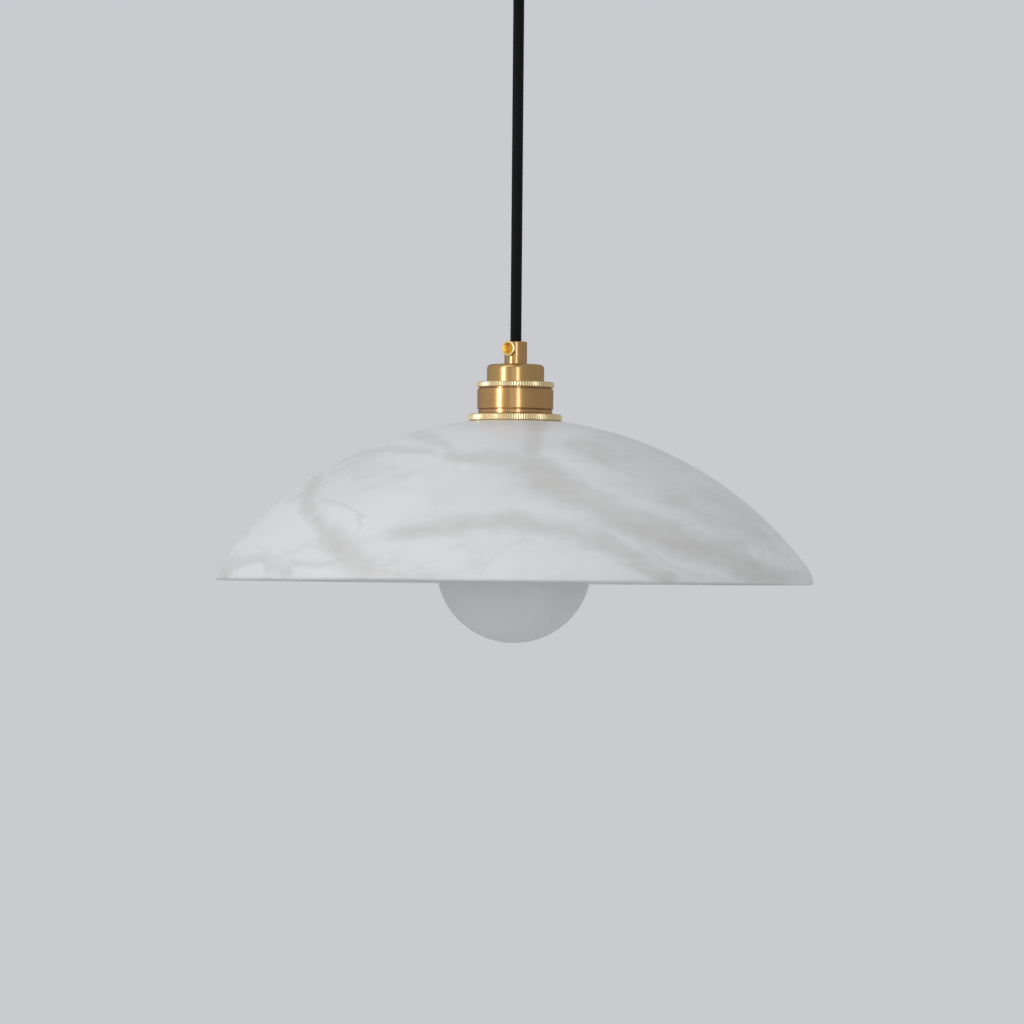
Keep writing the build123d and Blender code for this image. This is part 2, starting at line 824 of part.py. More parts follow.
def bulb_globe():
    """Glass globe with a flared neck, open at the cap."""
    turn = math.degrees(math.atan2(flare_drop, flare_centre_radius))
    centre = (0, globe_centre)
    flare = (flare_centre_radius, bulb_cap_bottom)
    inner_neck = bulb_neck_radius - globe_wall
    return turned_curve(
        CenterArc(centre, globe_radius, -90, turn + 90),
        CenterArc(flare, neck_flare_radius, 180, turn),
        Line((bulb_neck_radius, bulb_cap_bottom), (bulb_neck_radius, bulb_neck_top)),
        Line((bulb_neck_radius, bulb_neck_top), (inner_neck, bulb_neck_top)),
        Line((inner_neck, bulb_neck_top), (inner_neck, bulb_cap_bottom)),
        CenterArc(flare, neck_flare_radius + globe_wall, 180, turn),
        CenterArc(centre, globe_radius - globe_wall, -90, turn + 90),
        Line((0, globe_centre - globe_radius + globe_wall), (0, globe_centre - globe_radius)),
    )


def bulb_cap_shell():
    """Threaded cap of the bulb with a smooth collar round the glass neck, sewn face to face."""
    step = bulb_thread_bottom - bulb_collar_step
    collar = turned(
        [
            (bulb_bore_radius, bulb_thread_bottom),
            (bulb_collar_radius, bulb_thread_bottom),
            (bulb_collar_radius, bulb_cap_bottom),
            (bulb_collar_inner, bulb_cap_bottom),
            (bulb_collar_inner, step),
            (bulb_bore_radius, step),
        ]
    ).faces().sort_by(Axis.Z)
    thread = thread_rod(bulb_thread_mean, bulb_thread_bottom, bulb_thread_top).faces().sort_by(Axis.Z)
    bore = rod(bulb_bore_radius, bulb_thread_bottom, bulb_thread_top).faces().sort_by(Axis.Z)
    shoulder = (Pos(0, 0, bulb_thread_bottom) * Circle(bulb_collar_radius)).face()
    shoulder = shoulder.make_holes([thread[0].outer_wire()])
    top = thread[-1].make_holes([bore[-1].outer_wire()])
    return Solid(Shell([shoulder, top] + thread[1:-1] + bore[1:-1] + collar[:-1]))


def bulb_insulator():
    """Glass insulator between the cap and the tip contact."""
    outer = bulb_bore_radius - insulator_fit
    hole = tip_stem_diameter / 2 + thread_fit
    return turned(
        [
            (hole, insulator_top),
            (insulator_top_diameter / 2, insulator_top),
            (outer, bulb_thread_top),
            (outer, insulator_bottom),
            (hole, insulator_bottom),
        ]
    )


def bulb_tip_contact():
    """Round tip contact with its stem down to the driver board."""
    tip_radius = tip_diameter / 2
    button = turned(
        [(0, insulator_top), (tip_radius, insulator_top), (tip_radius, bulb_tip_top), (0, bulb_tip_top)],
        [0, 0, tip_edge_round, 0],
    )
    return button + rod(tip_stem_diameter / 2, driver_board_top, insulator_top)


def bulb_driver():
    """Driver board in the cap, with a capacitor and a chip under it."""
    bottom = driver_board_top - driver_board_thickness
    driver = rod(bulb_bore_radius - insulator_fit, bottom, driver_board_top)
    capacitor = rod(driver_capacitor_diameter / 2, bottom - driver_capacitor_height, bottom)
    driver += Pos(driver_capacitor_offset, 0, 0) * capacitor
    half = driver_chip_size / 2
    chip = box_between((-half, -half, bottom - driver_chip_height), (half, half, bottom))
    return driver + Pos(-driver_capacitor_offset, 0, 0) * chip


def bulb_stem():
    """Glass stem that closes the neck and carries the filaments."""
    flare = bulb_neck_radius - globe_wall - bulb_neck_fit
    stem = rod(flare, bulb_neck_top - stem_flare_height, bulb_neck_top)
    return stem + rod(stem_diameter / 2, stem_end, bulb_neck_top)


def filament_places():
    """Angles of the filaments about the axis of the bulb."""
    return [360 * step / filament_count for step in range(filament_count)]


def filament_supports():
    """Wire spiders above and below the filaments, on the stem and on a rod at its end."""
    half = support_width / 2
    reach = filament_circle_diameter / 2 + filament_diameter / 2
    inner = stem_diameter / 2 + thread_fit
    collar_high = filament_top + support_width
    upper = rod(inner + support_collar_wall, filament_top, collar_high)
    lower = rod(half, filament_bottom - support_width, stem_end)
    for turn in filament_places():
        upper_arm = box_between((0, -half, filament_top), (reach, half, collar_high))
        lower_arm = box_between((0, -half, filament_bottom - support_width), (reach, half, filament_bottom))
        upper += Rot(0, 0, turn) * upper_arm
        lower += Rot(0, 0, turn) * lower_arm
    return [upper - rod(inner, filament_top, collar_high), lower]


def led_filaments():
    """Filament rods between the two spiders."""
    filament = rod(filament_diameter / 2, filament_bottom, filament_top)
    filament = Pos(filament_circle_diameter / 2, 0, 0) * filament
    return [Rot(0, 0, turn) * filament for turn in filament_places()]


lower_ring_top = shade_inner_seat - shade_washer_thickness
shade_ring = knurled_ring(shade_ring_diameter / 2, shade_ring_bore, 0, shade_ring_height, shade_knurl_pitch)
nut_bottom = cap_ceiling - earth_tag_thickness - nut_thickness
washer_top = rose_floor + rose_washer_thickness
pole_end = -block_width / 2 + clamp_recess + core_insertion

pieces = {
    "rose_bracket": rose_bracket(),
    "rose_cup": rose_cup(),
    "rose_side_screws": rose_side_screws(),
    "rose_cord_grip": at_rose(cord_grip(-grip_screw_direction)),
    "rose_grip_screw": at_rose(grip_screw(-grip_screw_direction)),
    "rose_grip_washer": tube(rose_washer_diameter / 2, nipple_hole, rose_floor, washer_top),
    "rose_grip_nut": nipple_nut(washer_top),
    "terminal_block": terminal_block(),
    "terminal_clamps": terminal_clamps(),
    "rose_terminal_screws": rose_terminal_screws(),
    "terminal_block_screws": terminal_block_screws(),
    "earth_post": earth_post(),
    "rose_core_live": rose_core(210, core_rise, -pole_spacing / 2, pole_height, pole_end),
    "rose_core_neutral": rose_core(330, core_rise, pole_spacing / 2, pole_height, pole_end),
    "rose_core_earth": rose_core(
        90, core_rise + earth_core_extra_rise, earth_post_offset, earth_hole_height, core_radius
    ),
    "cord_anchor": rod(cord_radius, rose_mouth + cord_radius + cord_end_gap, rose_cord_top),
    "cord_bend": cord_stretch(rose_mouth, lower_swing_axis + cord_radius + cord_end_gap),
    "cord_drop": cord_stretch(lower_swing_axis, lamp_cord_bottom),
    "lamp_cord_grip": at_lamp(cord_grip(grip_screw_direction)),
    "lamp_grip_screw": at_lamp(grip_screw(grip_screw_direction)),
    "lamp_grip_nut": nipple_nut(nut_bottom),
    "earth_tag": earth_tag(),
    "holder_cap": holder_cap(),
    "cap_ring": cap_ring(),
    "holder_body": holder_body(),
    "socket_insert": socket_insert(),
    "insert_ring": tube(
        body_bore - thread_fit,
        body_bore - insert_ring_width,
        insert_bottom - insert_ring_height,
        insert_bottom,
    ),
    "screw_shell": screw_shell(),
    "neutral_plate": neutral_plate(),
    "centre_contact": centre_contact(),
    "live_terminal": lamp_terminal(1),
    "neutral_terminal": lamp_terminal(-1),
    "lamp_terminal_screws": lamp_terminal_screws(),
    "lamp_core_live": lamp_core(30, 1),
    "lamp_core_neutral": lamp_core(150, -1),
    "lamp_core_earth": lamp_core_earth(),
    "shade": shade(),
    "shade_ring_upper": Pos(0, 0, shade_seat) * shade_ring,
    "shade_washer": tube(
        shade_washer_diameter / 2, skirt_radius + shade_washer_clearance, lower_ring_top, shade_inner_seat
    ),
    "shade_ring_lower": Pos(0, 0, lower_ring_top - shade_ring_height) * shade_ring,
    "bulb_globe": bulb_globe(),
    "bulb_cap_shell": bulb_cap_shell(),
    "bulb_insulator": bulb_insulator(),
    "bulb_tip_contact": bulb_tip_contact(),
    "bulb_driver": bulb_driver(),
    "bulb_stem": bulb_stem(),
    "filament_supports": filament_supports(),
    "led_filaments": led_filaments(),
}

os.makedirs("parts", exist_ok=True)
for name, piece in pieces.items():
    shape = Compound(children=piece) if isinstance(piece, list) else piece
    export_step(shape, f"parts/{name}.step")
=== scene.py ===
import math

import bpy
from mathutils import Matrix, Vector


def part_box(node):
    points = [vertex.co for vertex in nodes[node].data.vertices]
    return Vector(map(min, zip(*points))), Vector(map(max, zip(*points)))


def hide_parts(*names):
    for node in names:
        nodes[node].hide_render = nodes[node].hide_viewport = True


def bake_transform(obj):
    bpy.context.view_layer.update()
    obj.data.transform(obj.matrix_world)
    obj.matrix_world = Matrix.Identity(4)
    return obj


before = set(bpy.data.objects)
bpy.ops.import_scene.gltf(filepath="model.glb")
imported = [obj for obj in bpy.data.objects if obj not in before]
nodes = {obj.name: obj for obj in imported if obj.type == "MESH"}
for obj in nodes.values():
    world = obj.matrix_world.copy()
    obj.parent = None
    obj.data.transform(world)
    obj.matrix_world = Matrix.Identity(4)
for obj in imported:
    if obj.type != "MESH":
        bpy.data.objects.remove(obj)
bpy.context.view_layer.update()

# Camera
# A long lens, 2.5 m from the lamp and just under the level of the rim, as the photograph was taken.
# The photograph leans by half a degree, so the camera is rolled by as much.
shade_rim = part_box("shade")[0].z
picture_width = 0.5222
picture_centre_x = -0.0012
picture_centre_above_rim = 0.036
camera_distance = 2.5
camera_below_rim = 0.011
camera_rise = picture_centre_above_rim + camera_below_rim
camera_tilt = math.radians(90) + math.atan2(camera_rise, camera_distance)
camera_roll = math.radians(0.5)
camera_place = (picture_centre_x, -camera_distance, shade_rim - camera_below_rim)

bpy.ops.object.select_all(action="DESELECT")
bpy.ops.object.camera_add(location=camera_place)
camera = bpy.context.object
camera.name = "photo_camera"
camera.data.lens = camera.data.sensor_width * camera_distance / picture_width
camera.rotation_mode = "ZYX"
camera.rotation_euler = (camera_tilt, 0, camera_roll)
bpy.context.scene.camera = camera
bpy.context.scene.view_settings.view_transform = "Standard"

# Room light
# Soft daylight from a window on the left, a second panel beside the camera, and weaker ones above and
# below. The two gleams show in shiny surfaces only. The room that these mirror is brighter on the left.
backdrop_colour = (0.590, 0.597, 0.625, 1)
backdrop_strength = 1.0
room_colour = (0.96, 0.98, 1.0, 1)
room_strength = 0.565
window_side = 1.14
far_side = 0.78


def join(tree, output, target):
    """Joins one shader socket to another."""
    tree.links.new(output, target)


def calculate(tree, operation, first, second=None, third=None):
    """Math node whose inputs are sockets or plain numbers."""
    made = tree.nodes.new("ShaderNodeMath")
    made.operation = operation
    for socket, value in zip(made.inputs, (first, second, third)):
        if isinstance(value, (int, float)):
            socket.default_value = value
        elif value is not None:
            join(tree, value, socket)
    return made.outputs[0]


def light_source(tree, colour, strength):
    """Background light of one colour, whose strength is a number or a socket."""
    made = tree.nodes.new("ShaderNodeBackground")
    made.inputs["Color"].default_value = colour
    if isinstance(strength, (int, float)):
        made.inputs["Strength"].default_value = strength
    else:
        join(tree, strength, made.inputs["Strength"])
    return made.outputs[0]


def light_choice(tree, chosen, first, second):
    """The first light, or the second where the chosen value is 1."""
    made = tree.nodes.new("ShaderNodeMixShader")
    join(tree, chosen, made.inputs[0])
    join(tree, first, made.inputs[1])
    join(tree, second, made.inputs[2])
    return made.outputs[0]


world = bpy.data.worlds.new("pale_room")
bpy.context.scene.world = world
world.use_nodes = True
room = world.node_tree
room.nodes.clear()
ray = room.nodes.new("ShaderNodeLightPath")
mirrored = calculate(room, "MAXIMUM", ray.outputs["Is Glossy Ray"], ray.outputs["Is Transmission Ray"])
heading = room.nodes.new("ShaderNodeSeparateXYZ")
join(room, room.nodes.new("ShaderNodeTexCoord").outputs["Generated"], heading.inputs[0])
middle = (window_side + far_side) / 2
fall = calculate(room, "MULTIPLY_ADD", heading.outputs["X"], far_side - middle, middle)
lit_room = light_source(room, room_colour, room_strength)
mirrored_room = light_source(room, backdrop_colour, fall)
backdrop = light_source(room, backdrop_colour, backdrop_strength)
unseen = light_choice(room, mirrored, lit_room, mirrored_room)
whole_room = light_choice(room, ray.outputs["Is Camera Ray"], unseen, backdrop)
world_output = room.nodes.new("ShaderNodeOutputWorld")
join(room, whole_room, world_output.inputs["Surface"])


def soft_panel(name, turn, distance, rise, width, height, radiance, mirrored_only=False):
    """Soft light panel that faces the lamp, at an angle from the camera about the lamp's axis.

    A panel that is mirrored only shows in shiny surfaces and lights no others.
    """
    angle = math.radians(turn)
    lamp = Vector((0, 0, shade_rim))
    place = lamp + Vector((distance * math.sin(angle), -distance * math.cos(angle), rise))
    bpy.ops.object.light_add(type="AREA", location=place)
    panel = bpy.context.object
    panel.name = name
    panel.data.shape = "RECTANGLE"
    panel.data.size = width
    panel.data.size_y = height
    panel.data.energy = radiance * math.pi * width * height
    panel.rotation_euler = (place - lamp).to_track_quat("Z", "Y").to_euler()
    panel.visible_diffuse = not mirrored_only


soft_panel("window_light", turn=-50, distance=2.4, rise=0.45, width=0.55, height=1.5, radiance=4.64)
soft_panel("front_light", turn=9, distance=2.9, rise=0.25, width=0.46, height=1.1, radiance=3.68)
soft_panel(
    "window_gleam",
    turn=-50,
    distance=2.45,
    rise=0.45,
    width=0.55,
    height=1.5,
    radiance=1.6,
    mirrored_only=True,
)
soft_panel(
    "side_gleam",
    turn=-10,
    distance=2.95,
    rise=0.25,
    width=0.60,
    height=1.1,
    radiance=0.4,
    mirrored_only=True,
)
soft_panel("high_light", turn=-34, distance=2.0, rise=2.4, width=1.2, height=1.2, radiance=1.8)
soft_panel("low_light", turn=55, distance=1.3, rise=-1.7, width=1.4, height=1.4, radiance=0.34)

# Floor
# A plain floor with pale matt paint, far below the hanging lamp.
# It is wide enough to end far behind the lamp from every side.
floor_colour = (0.74, 0.74, 0.75, 1)
floor_roughness = 0.9
floor_drop = 2.85
floor_half_width = 30.0


def material(name):
    """New material with a principled shader."""
    made = bpy.data.materials.new(name)
    made.use_nodes = True
    return made


def shader_of(finish):
    """The principled shader of a material."""
    return finish.node_tree.nodes["Principled BSDF"]


def dress(piece, finish):
    """Gives a piece one finish all over."""
    piece.data.materials.clear()
    piece.data.materials.append(finish)


bpy.ops.mesh.primitive_plane_add(size=2 * floor_half_width, location=(0, 0, shade_rim - floor_drop))
floor = bpy.context.object
floor.name = "floor"
floor_paint = material("pale_floor")
shader_of(floor_paint).inputs["Base Color"].default_value = floor_colour
shader_of(floor_paint).inputs["Roughness"].default_value = floor_roughness
dress(floor, floor_paint)

# Flex
# A round three-core flex in a black braided sleeve, pulled straight by the weight of the lamp.
# It comes out of the grip under the ceiling rose and goes into the grip on top of the lampholder.
flex_diameter = 0.0057
flex_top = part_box("rose_cord_grip")[0].z
flex_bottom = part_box("cord_drop")[0].z
flex_length = flex_top - flex_bottom
flex_route = [
    (0, 0, flex_top),
    (0, 0, (flex_top + flex_bottom) / 2),
    (0, 0, flex_bottom),
]
route_steps = 48
braid_sides = 60
braid_ring_spacing = 0.0003
braid_carriers = 10
braid_rise = 0.0019
braid_relief = 0.00010
braid_end_rings = 6
braid_end_radius = 0.00002
braid_dark = (0.0032, 0.0032, 0.0038, 1)
braid_light = (0.0095, 0.0093, 0.0102, 1)
braid_roughness = 0.7
braid_shine = 0.09
braid_sheen = 0.05
yarn_scale = 2600
yarn_bump_strength = 0.35
yarn_bump_depth = 0.00008

route_curve = bpy.data.curves.new("flex_route", "CURVE")
route_curve.dimensions = "3D"
route_curve.resolution_u = route_steps
route_spline = route_curve.splines.new("NURBS")
route_spline.points.add(len(flex_route) - 1)
for point, place in zip(route_spline.points, flex_route):
    point.co = (*place, 1)
route_spline.order_u = 3
route_spline.use_endpoint_u = True
route_object = bpy.data.objects.new("flex_route", route_curve)
bpy.context.scene.collection.objects.link(route_object)
bpy.context.view_layer.update()
route_line = bpy.data.meshes.new_from_object(route_object)
bpy.data.objects.remove(route_object)
bpy.data.meshes.remove(route_line)


def braid_height(turn, along):
    """Height of the braid from 0 to 1: two sets of strands that pass over and under each other."""
    one = braid_carriers * turn + along / braid_rise
    other = braid_carriers * turn - along / braid_rise
    on_top = (math.floor(one) + math.floor(other)) % 2 == 0
    return abs(math.sin(math.pi * (one if on_top else other)))


flex_rings = round(flex_length / braid_ring_spacing)
flex_corners = []
for ring in range(-braid_end_rings, flex_rings + 1):
    along = flex_length * max(ring, 0) / flex_rings
    closing = math.pi / 2 * max(-ring, 0) / braid_end_rings
    height = flex_top - along + flex_diameter / 2 * math.sin(closing)
    for side in range(braid_sides):
        turn = side / braid_sides
        reach = flex_diameter / 2 - braid_relief * (1 - braid_height(turn, along))
        reach = max(reach * math.cos(closing), braid_end_radius)
        angle = 2 * math.pi * turn
        flex_corners.append((reach * math.cos(angle), reach * math.sin(angle), height))
flex_faces = []
ring_count = flex_rings + 1 + braid_end_rings
for ring in range(ring_count - 1):
    high = ring * braid_sides
    low = high + braid_sides
    for side in range(braid_sides):
        beside = (side + 1) % braid_sides
        flex_faces.append((high + side, low + side, low + beside, high + beside))
last_ring = (ring_count - 1) * braid_sides
flex_faces.append(tuple(range(braid_sides)))
flex_faces.append(tuple(reversed(range(last_ring, last_ring + braid_sides))))
flex_mesh = bpy.data.meshes.new("flex")
flex_mesh.from_pydata(flex_corners, [], flex_faces)
flex_mesh.shade_smooth()
flex = bpy.data.objects.new("flex", flex_mesh)
bpy.context.scene.collection.objects.link(flex)


def object_place(tree):
    """Place on the piece in its own coordinates."""
    return tree.nodes.new("ShaderNodeTexCoord").outputs["Object"]


def noise(tree, place, scale, detail=2):
    """Noise texture that reads a place, and its value."""
    grain = tree.nodes.new("ShaderNodeTexNoise")
    grain.inputs["Scale"].default_value = scale
    grain.inputs["Detail"].default_value = detail
    join(tree, place, grain.inputs["Vector"])
    return grain.outputs["Fac"]


def tones(tree, value, first, second):
    """Mixes two colours by a value. The first is a colour or a socket that gives one."""
    mixed = tree.nodes.new("ShaderNodeMix")
    mixed.data_type = "RGBA"
    if isinstance(first, tuple):
        mixed.inputs["A"].default_value = first
    else:
        join(tree, first, mixed.inputs["A"])
    mixed.inputs["B"].default_value = second
    join(tree, value, mixed.inputs["Factor"])
    return mixed.outputs["Result"]


def relief(tree, value, strength, depth, shader):
    """Fine surface relief from a value."""
    bump = tree.nodes.new("ShaderNodeBump")
    bump.inputs["Strength"].default_value = strength
    bump.inputs["Distance"].default_value = depth
    join(tree, value, bump.inputs["Height"])
    join(tree, bump.outputs["Normal"], shader.inputs["Normal"])


braid = material("black_braid")
braid_tree = braid.node_tree
braid_shader = shader_of(braid)
yarn = noise(braid_tree, object_place(braid_tree), yarn_scale, detail=3)
join(braid_tree, tones(braid_tree, yarn, braid_dark, braid_light), braid_shader.inputs["Base Color"])
relief(braid_tree, yarn, yarn_bump_strength, yarn_bump_depth, braid_shader)
braid_shader.inputs["Roughness"].default_value = braid_roughness
braid_shader.inputs["Specular IOR Level"].default_value = braid_shine
braid_shader.inputs["Sheen Weight"].default_value = braid_sheen
dress(flex, braid)
dress(nodes["cord_anchor"], braid)
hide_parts("cord_bend", "cord_drop")
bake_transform(flex)

# Satin brass
# The cup of the rose, the grips, the lampholder's cap and body and the ring that holds its insert: turned
# brass with a fine lathe finish under a thin lacquer. The body's grooves and inside have browned tarnish
# and painted shade.
brass_deep = (0.412, 0.207, 0.037, 1)
brass_clear = (0.545, 0.290, 0.062, 1)
cap_brass_deep = (0.425, 0.235, 0.040, 1)
cap_brass_clear = (0.560, 0.320, 0.068, 1)
brass_gloss = {"smooth": 0.23, "rough": 0.28, "lacquer": 0.32}
lacquer_roughness = 0.12
lacquer_ior = 3.2
edge_tint = (0.5, 0.45, 0.4, 1)
tarnish_and_shade_brown = (0.25, 0.095, 0.006, 1)
recess_depth = 0.00060
recess_edge = 0.00008
metal_tone_scale = 90
metal_tone_detail = 4
lathe_line_scale = 3600
lathe_bump_strength = 0.03
lathe_bump_depth = 0.00003


def spread(tree, value, low, high, start=0.3, end=0.7):
    """Maps a value from start and end to low and high, smoothly."""
    ranged = tree.nodes.new("ShaderNodeMapRange")
    ranged.interpolation_type = "SMOOTHSTEP"
    ranged.inputs["From Min"].default_value = start
    ranged.inputs["From Max"].default_value = end
    ranged.inputs["To Min"].default_value = low
    ranged.inputs["To Max"].default_value = high
    join(tree, value, ranged.inputs["Value"])
    return ranged.outputs["Result"]


def turned_place(tree, place):
    """Radius and height of a place about the lamp's axis, for marks that a lathe leaves."""
    parts = tree.nodes.new("ShaderNodeSeparateXYZ")
    flat = tree.nodes.new("ShaderNodeCombineXYZ")
    radius = tree.nodes.new("ShaderNodeVectorMath")
    radius.operation = "LENGTH"
    made = tree.nodes.new("ShaderNodeCombineXYZ")
    join(tree, place, parts.inputs[0])
    join(tree, parts.outputs["X"], flat.inputs["X"])
    join(tree, parts.outputs["Y"], flat.inputs["Y"])
    join(tree, flat.outputs[0], radius.inputs[0])
    join(tree, radius.outputs["Value"], made.inputs["X"])
    join(tree, parts.outputs["Z"], made.inputs["Z"])
    return made.outputs[0]


def lathe_radius(tree, place):
    """Distance of a place from the lamp's axis."""
    parts = tree.nodes.new("ShaderNodeSeparateXYZ")
    join(tree, turned_place(tree, place), parts.inputs[0])
    return parts.outputs["X"]


def turned_metal(name, deep, clear, smooth, rough, lacquer=0.0, recess=0.0):
    """Metal finished on a lathe: fine rings, uneven tone and gloss, and tarnish and painted shade within a
    radius.
    """
    made = material(name)
    tree = made.node_tree
    shader = shader_of(made)
    place = object_place(tree)
    tone = noise(tree, place, metal_tone_scale, metal_tone_detail)
    lines = noise(tree, turned_place(tree, place), lathe_line_scale)
    colour = tones(tree, tone, deep, clear)
    # Within the recess radius the colour is painted darker: browned tarnish and painted shade.
    if recess:
        out = lathe_radius(tree, place)
        sunk = spread(tree, out, low=1, high=0, start=recess - recess_edge, end=recess)
        colour = tones(tree, sunk, colour, tarnish_and_shade_brown)
    join(tree, colour, shader.inputs["Base Color"])
    join(tree, spread(tree, lines, low=smooth, high=rough), shader.inputs["Roughness"])
    relief(tree, lines, lathe_bump_strength, lathe_bump_depth, shader)
    shader.inputs["Metallic"].default_value = 1
    shader.inputs["Coat Weight"].default_value = lacquer
    shader.inputs["Coat Roughness"].default_value = lacquer_roughness
    shader.inputs["Coat IOR"].default_value = lacquer_ior
    shader.inputs["Specular Tint"].default_value = edge_tint
    return made


satin_brass = turned_metal("satin_brass", brass_deep, brass_clear, **brass_gloss)
for name in ("rose_cup", "rose_cord_grip", "lamp_cord_grip", "insert_ring"):
    dress(nodes[name], satin_brass)
cap_brass = turned_metal("cap_brass", cap_brass_deep, cap_brass_clear, **brass_gloss)
dress(nodes["holder_cap"], cap_brass)
body_low, body_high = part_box("holder_body")
# The body's grooves and inside, within this radius, get browned tarnish and painted shade.
recess_radius = (body_high.x - body_low.x) / 2 - recess_depth
body_brass = turned_metal("body_brass", brass_deep, brass_clear, **brass_gloss, recess=recess_radius)
dress(nodes["holder_body"], body_brass)

# Knurled rings
# Brass rings rolled with upright ridges. The crests carry a painted highlight, brighter than the turned
# faces, and the grooves a painted shade. One holds the cap on the body, and two clamp the stone shade from
# above and below.
groove_shade_brown = (0.66, 0.46, 0.20, 1)
crest_highlight_gold = (1.0, 0.87, 0.50, 1)
knurl_face = (0.95, 0.72, 0.37, 1)
knurl_edge_tint = (0.75, 0.52, 0.30, 1)
knurl_depth = 0.00035
groove_depth = 0.9 * knurl_depth
crest_depth = 0.15 * knurl_depth
flat_depth = 1.7 * knurl_depth
flat_edge_depth = 1.2 * knurl_depth
knurl_smooth = 0.28
knurl_rough = 0.38
knurl_lacquer = 0.4
knurl_lacquer_roughness = 0.2
knurl_lacquer_ior = 2.2


def knurled_metal(name, radius):
    """Rolled brass: painted highlight on the crests at the outer radius, painted shade in the grooves, plain
    on the flats.
    """
    made = material(name)
    tree = made.node_tree
    shader = shader_of(made)
    place = object_place(tree)
    out = lathe_radius(tree, place)
    # Painted highlight on the crests and painted shade in the grooves, by distance from the axis.
    crest = spread(tree, out, low=0, high=1, start=radius - groove_depth, end=radius - crest_depth)
    flat = spread(tree, out, low=1, high=0, start=radius - flat_depth, end=radius - flat_edge_depth)
    ridged = tones(tree, crest, groove_shade_brown, crest_highlight_gold)
    join(tree, tones(tree, flat, ridged, knurl_face), shader.inputs["Base Color"])
    grain = noise(tree, place, metal_tone_scale, metal_tone_detail)
    join(tree, spread(tree, grain, low=knurl_smooth, high=knurl_rough), shader.inputs["Roughness"])
    shader.inputs["Metallic"].default_value = 1
    shader.inputs["Specular Tint"].default_value = knurl_edge_tint
    shader.inputs["Coat Weight"].default_value = knurl_lacquer
    shader.inputs["Coat Roughness"].default_value = knurl_lacquer_roughness
    shader.inputs["Coat IOR"].default_value = knurl_lacquer_ior
    return made


for name in ("cap_ring", "shade_ring_upper", "shade_ring_lower"):
    ring_low, ring_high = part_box(name)
    ring_radius = (ring_high.x - ring_low.x) / 2
    dress(nodes[name], knurled_metal("knurled_brass_" + name, ring_radius))

# Bright screws
# Small gilt screws: the grip screws, with a painted highlight on the rim round a darker dished face, and the
# plain side screws of the rose.
gold_deep = (0.68, 0.37, 0.08, 1)
gold_clear = (0.86, 0.55, 0.17, 1)
dish_gold = (0.80, 0.40, 0.055, 1)
rim_highlight_cream = (1.0, 0.80, 0.42, 1)
grip_screw_turn = math.radians(234.4)
grip_screw_roughness = 0.14
dish_edge = 0.0029
rim_start = 0.0031
bright_gold = turned_metal("bright_gold", gold_deep, gold_clear, smooth=0.10, rough=0.18)
dress(nodes["rose_side_screws"], bright_gold)


def measure(tree, place, direction, start, length):
    """How far a place lies along a direction, from 0 at start to 1 after a length."""
    dot = tree.nodes.new("ShaderNodeVectorMath")
    dot.operation = "DOT_PRODUCT"
    dot.inputs[1].default_value = direction
    join(tree, place, dot.inputs[0])
    return calculate(tree, "MULTIPLY_ADD", dot.outputs["Value"], 1 / length, -start / length)


def dished_screw(name, axis_height):
    """Gilt screw on a level axis through the lamp's own: painted highlight on the rim, darker dish."""
    made = material(name)
    tree = made.node_tree
    shader = shader_of(made)
    place = object_place(tree)
    across = (math.sin(grip_screw_turn), -math.cos(grip_screw_turn), 0)
    aside = measure(tree, place, across, start=0, length=1)
    above = measure(tree, place, (0, 0, 1), start=axis_height, length=1)
    above_squared = calculate(tree, "POWER", above, 2)
    away = calculate(tree, "SQRT", calculate(tree, "MULTIPLY_ADD", aside, aside, above_squared))
    # The rim beyond the dish gets a painted highlight in cream.
    rim = spread(tree, away, low=0, high=1, start=dish_edge, end=rim_start)
    join(tree, tones(tree, rim, dish_gold, rim_highlight_cream), shader.inputs["Base Color"])
    shader.inputs["Roughness"].default_value = grip_screw_roughness
    shader.inputs["Metallic"].default_value = 1
    return made


for name in ("lamp_grip_screw", "rose_grip_screw"):
    screw_low, screw_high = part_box(name)
    screw_height = (screw_low.z + screw_high.z) / 2
    dress(nodes[name], dished_screw("gilt_" + name, screw_height))

# Plated steel and contact brass
# The strap, nuts, washer, clamp screws and filament supports are zinc-plated steel. Contacts and terminals
# are bare brass, pressed or turned, and the cap of the bulb is a thin rolled shell with a dull plating.
steel_deep = (0.40, 0.41, 0.42, 1)
steel_clear = (0.60, 0.61, 0.62, 1)
zinc_steel = turned_metal("zinc_steel", steel_deep, steel_clear, smooth=0.28, rough=0.42)
for name in (
    "rose_bracket",
    "rose_grip_washer",
    "rose_grip_nut",
    "rose_terminal_screws",
    "terminal_block_screws",
    "lamp_grip_nut",
    "lamp_terminal_screws",
    "filament_supports",
):
    dress(nodes[name], zinc_steel)

contact_deep = (0.55, 0.38, 0.17, 1)
contact_clear = (0.70, 0.52, 0.27, 1)
contact_brass = turned_metal("contact_brass", contact_deep, contact_clear, smooth=0.22, rough=0.34)
for name in (
    "terminal_clamps",
    "earth_post",
    "earth_tag",
    "screw_shell",
    "neutral_plate",
    "centre_contact",
    "live_terminal",
    "neutral_terminal",
    "bulb_tip_contact",
):
    dress(nodes[name], contact_brass)

cap_deep = (0.56, 0.55, 0.52, 1)
cap_clear = (0.72, 0.71, 0.69, 1)
cap_metal = turned_metal("cap_metal", cap_deep, cap_clear, smooth=0.20, rough=0.32)
dress(nodes["bulb_cap_shell"], cap_metal)

